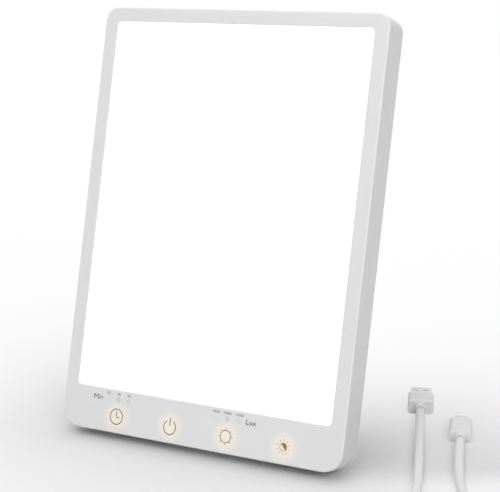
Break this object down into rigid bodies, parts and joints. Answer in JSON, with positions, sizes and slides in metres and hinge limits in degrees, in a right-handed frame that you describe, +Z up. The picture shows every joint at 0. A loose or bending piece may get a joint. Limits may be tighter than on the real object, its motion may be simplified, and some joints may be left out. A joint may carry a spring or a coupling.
{
  "type": "light therapy lamp",
  "caption": "Tablet-shaped light therapy lamp: flat diffused light window, touch keys below it, a fold-out rear leg and a separate USB lead.",
  "frame": {"origin": "on the surface the lamp stands on, at the centre of the standing lamp seen from above, without its lead", "axes": "+Z up; the lit front faces -Y and leans back towards +Y; X runs across the panel"},
  "size_m": [0.2637, 0.2305, 0.2284],
  "materials": {
    "casing": "fine satin moulded plastic, white",
    "rear_cover": "fine texture moulded plastic, white",
    "stand": "fine satin moulded plastic, white",
    "diffuser": "opal, satin",
    "clear_acrylic": "clear, polished",
    "film": "white film",
    "inner_frame": "plain moulded plastic",
    "aluminium_sheet": "rolled sheet",
    "foam": "closed cell foam",
    "led_board": "white solder mask",
    "led_package": "yellow phosphor lamp",
    "circuit_board": "green solder mask",
    "light_cup": "white moulded plastic",
    "conductive_sleeve": "conductive foam",
    "light_pipe": "milky clear plastic",
    "chip_black": "moulded package",
    "ferrite": "pressed ferrite",
    "can": "drawn can",
    "connector_plastic": "natural nylon",
    "wire_jacket": "vinyl wire",
    "socket_steel": "nickel plated",
    "contact_insert": "moulded insert",
    "screw_steel": "zinc plated",
    "pin_steel": "ground bar",
    "washer_nylon": "nylon",
    "foot_rubber": "grey silicone",
    "plug_steel": "nickel plated",
    "plug_grip": "white soft touch moulding",
    "plug_insert": "white moulded insert",
    "contact_gold": "gold plated",
    "cord_jacket": "white soft jacket",
    "tie": "white soft band"
  },
  "bodies": {
    "root": {"base_feet": "foot_rubber", "case_screws": "screw_steel", "coil_tie": "tie", "control_board": "circuit_board", "control_board_screws": "screw_steel", "diffuser_panel": "diffuser", "diffusing_film": "film", "driver_capacitors": "can", "driver_inductor": "ferrite", "foam_gasket": "foam", "frame_screws": "screw_steel", "friction_washers": "washer_nylon", "front_case": "casing", "heat_spreader": "aluminium_sheet", "hinge_pin": "pin_steel", "indicator_leds": "led_package", "indicator_light_pipes": "light_pipe", "inner_frame": "inner_frame", "key_leds": "led_package", "key_light_cups": "light_cup", "lead_coil": "cord_jacket", "lead_cord_a": "cord_jacket", "lead_cord_c": "cord_jacket", "led_board_left": "led_board", "led_board_right": "led_board", "led_chips_left": "led_package", "led_chips_right": "led_package", "led_wires": "wire_jacket", "light_guide_plate": "clear_acrylic", "power_board": "circuit_board", "power_board_screws": "screw_steel", "power_wires": "wire_jacket", "rear_cover": "rear_cover", "reflector_sheet": "film", "touch_controller": "chip_black", "touch_sleeves": "conductive_sleeve", "usb_a_contacts": "contact_gold", "usb_a_overmould": "plug_grip", "usb_a_shell": "plug_steel", "usb_a_strain_relief": "plug_grip", "usb_a_tongue": "plug_insert", "usb_c_liner": "contact_insert", "usb_c_overmould": "plug_grip", "usb_c_shell": "plug_steel", "usb_c_strain_relief": "plug_grip", "usb_socket_shell": "socket_steel", "usb_socket_tongue": "contact_insert", "wire_connectors": "connector_plastic"},
    "leg": {"stand_leg": "stand", "stand_foot": "foot_rubber"}
  },
  "joints": [
    {"name": "leg_fold", "type": "hinge", "parent": "root", "child": "leg", "pos_m": [0, 0.00805, 0.11564], "axis": [-1, 0, 0], "range_deg": [0, 24]}
  ]
}
